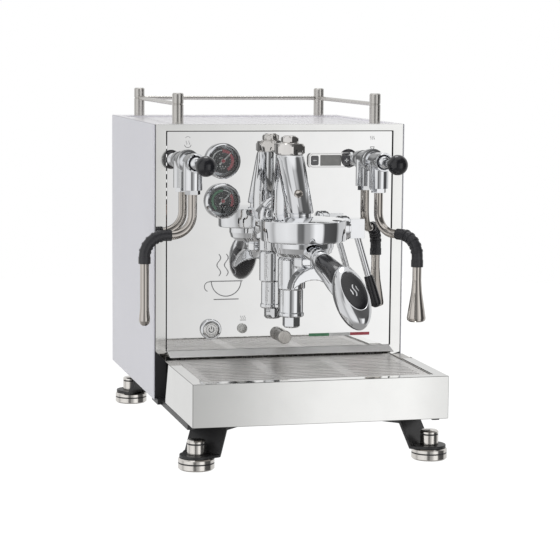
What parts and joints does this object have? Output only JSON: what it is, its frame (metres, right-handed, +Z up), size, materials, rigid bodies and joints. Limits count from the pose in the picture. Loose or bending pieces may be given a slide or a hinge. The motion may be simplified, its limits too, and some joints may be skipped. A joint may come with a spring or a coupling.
{
  "type": "espresso machine",
  "caption": "Polished steel espresso machine with a bell-shaped brew group, lever, filter holder, gauges, joystick valves with wands, pull-out drip tray, cup shelf with rail and screw feet",
  "frame": {"origin": "on the worktop, on the centre plane of the body, straight below the face of the front panel", "axes": "+X to the machine's right as seen from the front, +Y from the front panel towards the back, +Z up"},
  "size_m": [0.3287, 0.5852, 0.405],
  "materials": {
    "black_steel": "black powder-coated steel",
    "side_sheet": "pale lavender-grey satin coated sheet",
    "mirror_sheet": "mirror-polished stainless steel sheet",
    "polished_sheet": "polished stainless steel sheet",
    "satin_steel": "fine brushed stainless steel",
    "chrome": "bright chrome plating",
    "dial_black": "dark matt face",
    "clear_glass": "clear flat glass",
    "needle_white": "white painted metal",
    "button_grey": "grey push button",
    "lamp_lens": "milky lens in a bright rim",
    "black_gloss": "glossy black phenolic",
    "black_rubber": "matt black rubber",
    "wand_steel": "polished warm-toned stainless steel tube",
    "tank_plastic": "translucent tank plastic",
    "copper": "bare copper",
    "cast_metal": "cast aluminium"
  },
  "bodies": {
    "machine": {"chassis": "black_steel", "side_panel_left": "side_sheet", "side_panel_right": "side_sheet", "rear_panel": "side_sheet", "front_panel": "mirror_sheet", "front_frame": "polished_sheet", "leg_brackets": "black_steel", "gauge_housings": "chrome", "gauge_dials": "dial_black", "gauge_glasses": "clear_glass", "display_housing": "satin_steel", "display_screen": "dial_black", "power_ring": "chrome", "pilot_lamp": "lamp_lens", "group_flange": "chrome", "group_body": "chrome", "group_caps": "chrome", "group_badge": "chrome", "exhaust_chamber": "chrome", "group_gasket": "black_rubber", "shower_screen": "satin_steel", "valve_left": "chrome", "valve_right": "chrome", "boiler": "copper", "pump": "cast_metal", "control_box": "dial_black", "copper_pipes": "copper", "inlet_socket": "dial_black"},
    "shelf": {"cup_shelf": "side_sheet", "cup_rail": "satin_steel"},
    "tank": {"water_tank": "tank_plastic"},
    "foot_fl": {"foot_front_left": "satin_steel"},
    "foot_fr": {"foot_front_right": "satin_steel"},
    "foot_rl": {"foot_rear_left": "satin_steel"},
    "foot_rr": {"foot_rear_right": "satin_steel"},
    "tray": {"tray_cover": "polished_sheet", "drip_pan": "satin_steel"},
    "grate": {"drip_grate": "satin_steel"},
    "needle_up": {"needle_upper": "needle_white"},
    "needle_low": {"needle_lower": "needle_white"},
    "minus": {"button_minus": "button_grey"},
    "plus": {"button_plus": "button_grey"},
    "power": {"power_button": "satin_steel"},
    "knob": {"selector_knob": "satin_steel"},
    "lever": {"brew_lever": "chrome", "lever_grip": "black_gloss"},
    "filter_holder": {"portafilter": "chrome", "filter_basket": "satin_steel", "portafilter_spout": "chrome", "portafilter_grip": "black_gloss", "grip_cap": "chrome", "grip_inlay": "black_gloss"},
    "stick_left": {"joystick_left": "chrome", "ball_left": "black_gloss"},
    "stick_right": {"joystick_right": "chrome", "ball_right": "black_gloss"},
    "hot_wand": {"wand_left": "wand_steel", "wand_sleeve_left": "black_rubber"},
    "steam_wand": {"wand_right": "wand_steel", "wand_sleeve_right": "black_rubber"}
  },
  "joints": [
    {"name": "shelf_lift", "type": "slide", "parent": "machine", "child": "shelf", "axis": [0, 0, 1], "range_m": [0, 0.25]},
    {"name": "tank_lift", "type": "slide", "parent": "machine", "child": "tank", "axis": [0, 0, 1], "range_m": [0, 0.15]},
    {"name": "foot_fl_screw", "type": "hinge", "parent": "machine", "child": "foot_fl", "pos_m": [-0.134, -0.162, 0.01], "axis": [0, 0, 1], "continuous": true},
    {"name": "foot_fr_screw", "type": "hinge", "parent": "machine", "child": "foot_fr", "pos_m": [0.134, -0.162, 0.01], "axis": [0, 0, 1], "continuous": true},
    {"name": "foot_rl_screw", "type": "hinge", "parent": "machine", "child": "foot_rl", "pos_m": [-0.134, 0.251, 0.01], "axis": [0, 0, 1], "continuous": true},
    {"name": "foot_rr_screw", "type": "hinge", "parent": "machine", "child": "foot_rr", "pos_m": [0.134, 0.251, 0.01], "axis": [0, 0, 1], "continuous": true},
    {"name": "tray_slide", "type": "slide", "parent": "machine", "child": "tray", "axis": [0, -1, 0], "range_m": [0, 0.2]},
    {"name": "grate_lift", "type": "slide", "parent": "tray", "child": "grate", "axis": [0, 0, 1], "range_m": [0, 0.03]},
    {"name": "needle_upper_turn", "type": "hinge", "parent": "machine", "child": "needle_up", "pos_m": [-0.0706, -0.005, 0.327], "axis": [0, 1, 0], "range_deg": [-180, 90]},
    {"name": "needle_lower_turn", "type": "hinge", "parent": "machine", "child": "needle_low", "pos_m": [-0.0706, -0.005, 0.2804], "axis": [0, 1, 0], "range_deg": [-180, 90]},
    {"name": "minus_press", "type": "slide", "parent": "machine", "child": "minus", "axis": [0, 1, 0], "range_m": [0, 0.001], "stiffness_N_per_m": 600, "springref_m": -0.001},
    {"name": "plus_press", "type": "slide", "parent": "machine", "child": "plus", "axis": [0, 1, 0], "range_m": [0, 0.001], "stiffness_N_per_m": 600, "springref_m": -0.001},
    {"name": "power_press", "type": "slide", "parent": "machine", "child": "power", "axis": [0, 1, 0], "range_m": [0, 0.002], "stiffness_N_per_m": 700, "springref_m": -0.001},
    {"name": "knob_turn", "type": "hinge", "parent": "machine", "child": "knob", "pos_m": [0.0013, -0.01, 0.1206], "axis": [0, 1, 0], "range_deg": [0, 90]},
    {"name": "lever_lift", "type": "hinge", "parent": "machine", "child": "lever", "pos_m": [0.0777, -0.045, 0.251], "axis": [-1, 0, 0], "range_deg": [0, 85]},
    {"name": "filter_holder_turn", "type": "hinge", "parent": "machine", "child": "filter_holder", "pos_m": [-0.0015, -0.11, 0.25], "axis": [0, 0, 1], "range_deg": [-50, 5]},
    {"name": "stick_left_tilt", "type": "hinge", "parent": "machine", "child": "stick_left", "pos_m": [-0.1114, -0.0454, 0.327], "axis": [1, 0, 0], "range_deg": [-15, 15]},
    {"name": "stick_right_tilt", "type": "hinge", "parent": "machine", "child": "stick_right", "pos_m": [0.1114, -0.0454, 0.327], "axis": [1, 0, 0], "range_deg": [-15, 15]},
    {"name": "hot_wand_swing", "type": "hinge", "parent": "machine", "child": "hot_wand", "pos_m": [-0.1114, -0.028, 0.27], "axis": [0, 0, 1], "range_deg": [-10, 80]},
    {"name": "steam_wand_swing", "type": "hinge", "parent": "machine", "child": "steam_wand", "pos_m": [0.1114, -0.028, 0.27], "axis": [0, 0, 1], "range_deg": [-15, 60]}
  ],
  "couplings": [
    {"joint": "tank_lift", "follows": "shelf_lift", "ratio": 0.6}
  ]
}
